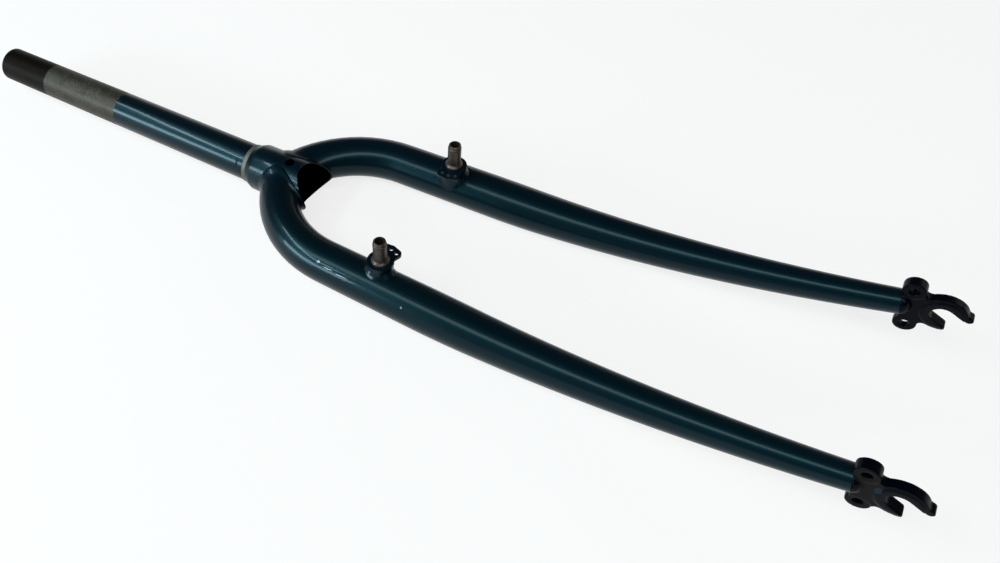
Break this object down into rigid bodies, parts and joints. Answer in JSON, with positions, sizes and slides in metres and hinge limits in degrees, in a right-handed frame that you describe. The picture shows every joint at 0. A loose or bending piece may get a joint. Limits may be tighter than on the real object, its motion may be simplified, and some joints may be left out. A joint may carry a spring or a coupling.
{
  "type": "bicycle fork",
  "caption": "Rigid steel bicycle fork with a threaded steerer, two bent tapered blades, cantilever brake studs and slotted dropouts.",
  "frame": {"origin": "middle of the crown race seat, on the steerer's axis", "axes": "+X down the steerer towards the wheel axle, +Y to the rider's left, +Z to the front of the fork"},
  "size_m": [0.6329, 0.123, 0.059],
  "materials": {
    "steerer_finish": "gloss dark teal paint below, bare steel band and dark thread above",
    "gloss_paint": "gloss dark teal enamel with chips and rubbed marks",
    "worn_dropout": "the same paint, worn to grey steel where nuts and screws clamp",
    "oily_stud": "bare dark steel with a brown film"
  },
  "bodies": {
    "root": {"steerer_tube": "steerer_finish", "right_blade": "gloss_paint", "left_blade": "gloss_paint", "right_dropout": "worn_dropout", "left_dropout": "worn_dropout", "right_boss_barrel": "gloss_paint", "left_boss_barrel": "gloss_paint", "right_spring_plate": "gloss_paint", "left_spring_plate": "gloss_paint", "right_brake_stud": "oily_stud", "left_brake_stud": "oily_stud"}
  },
  "joints": []
}
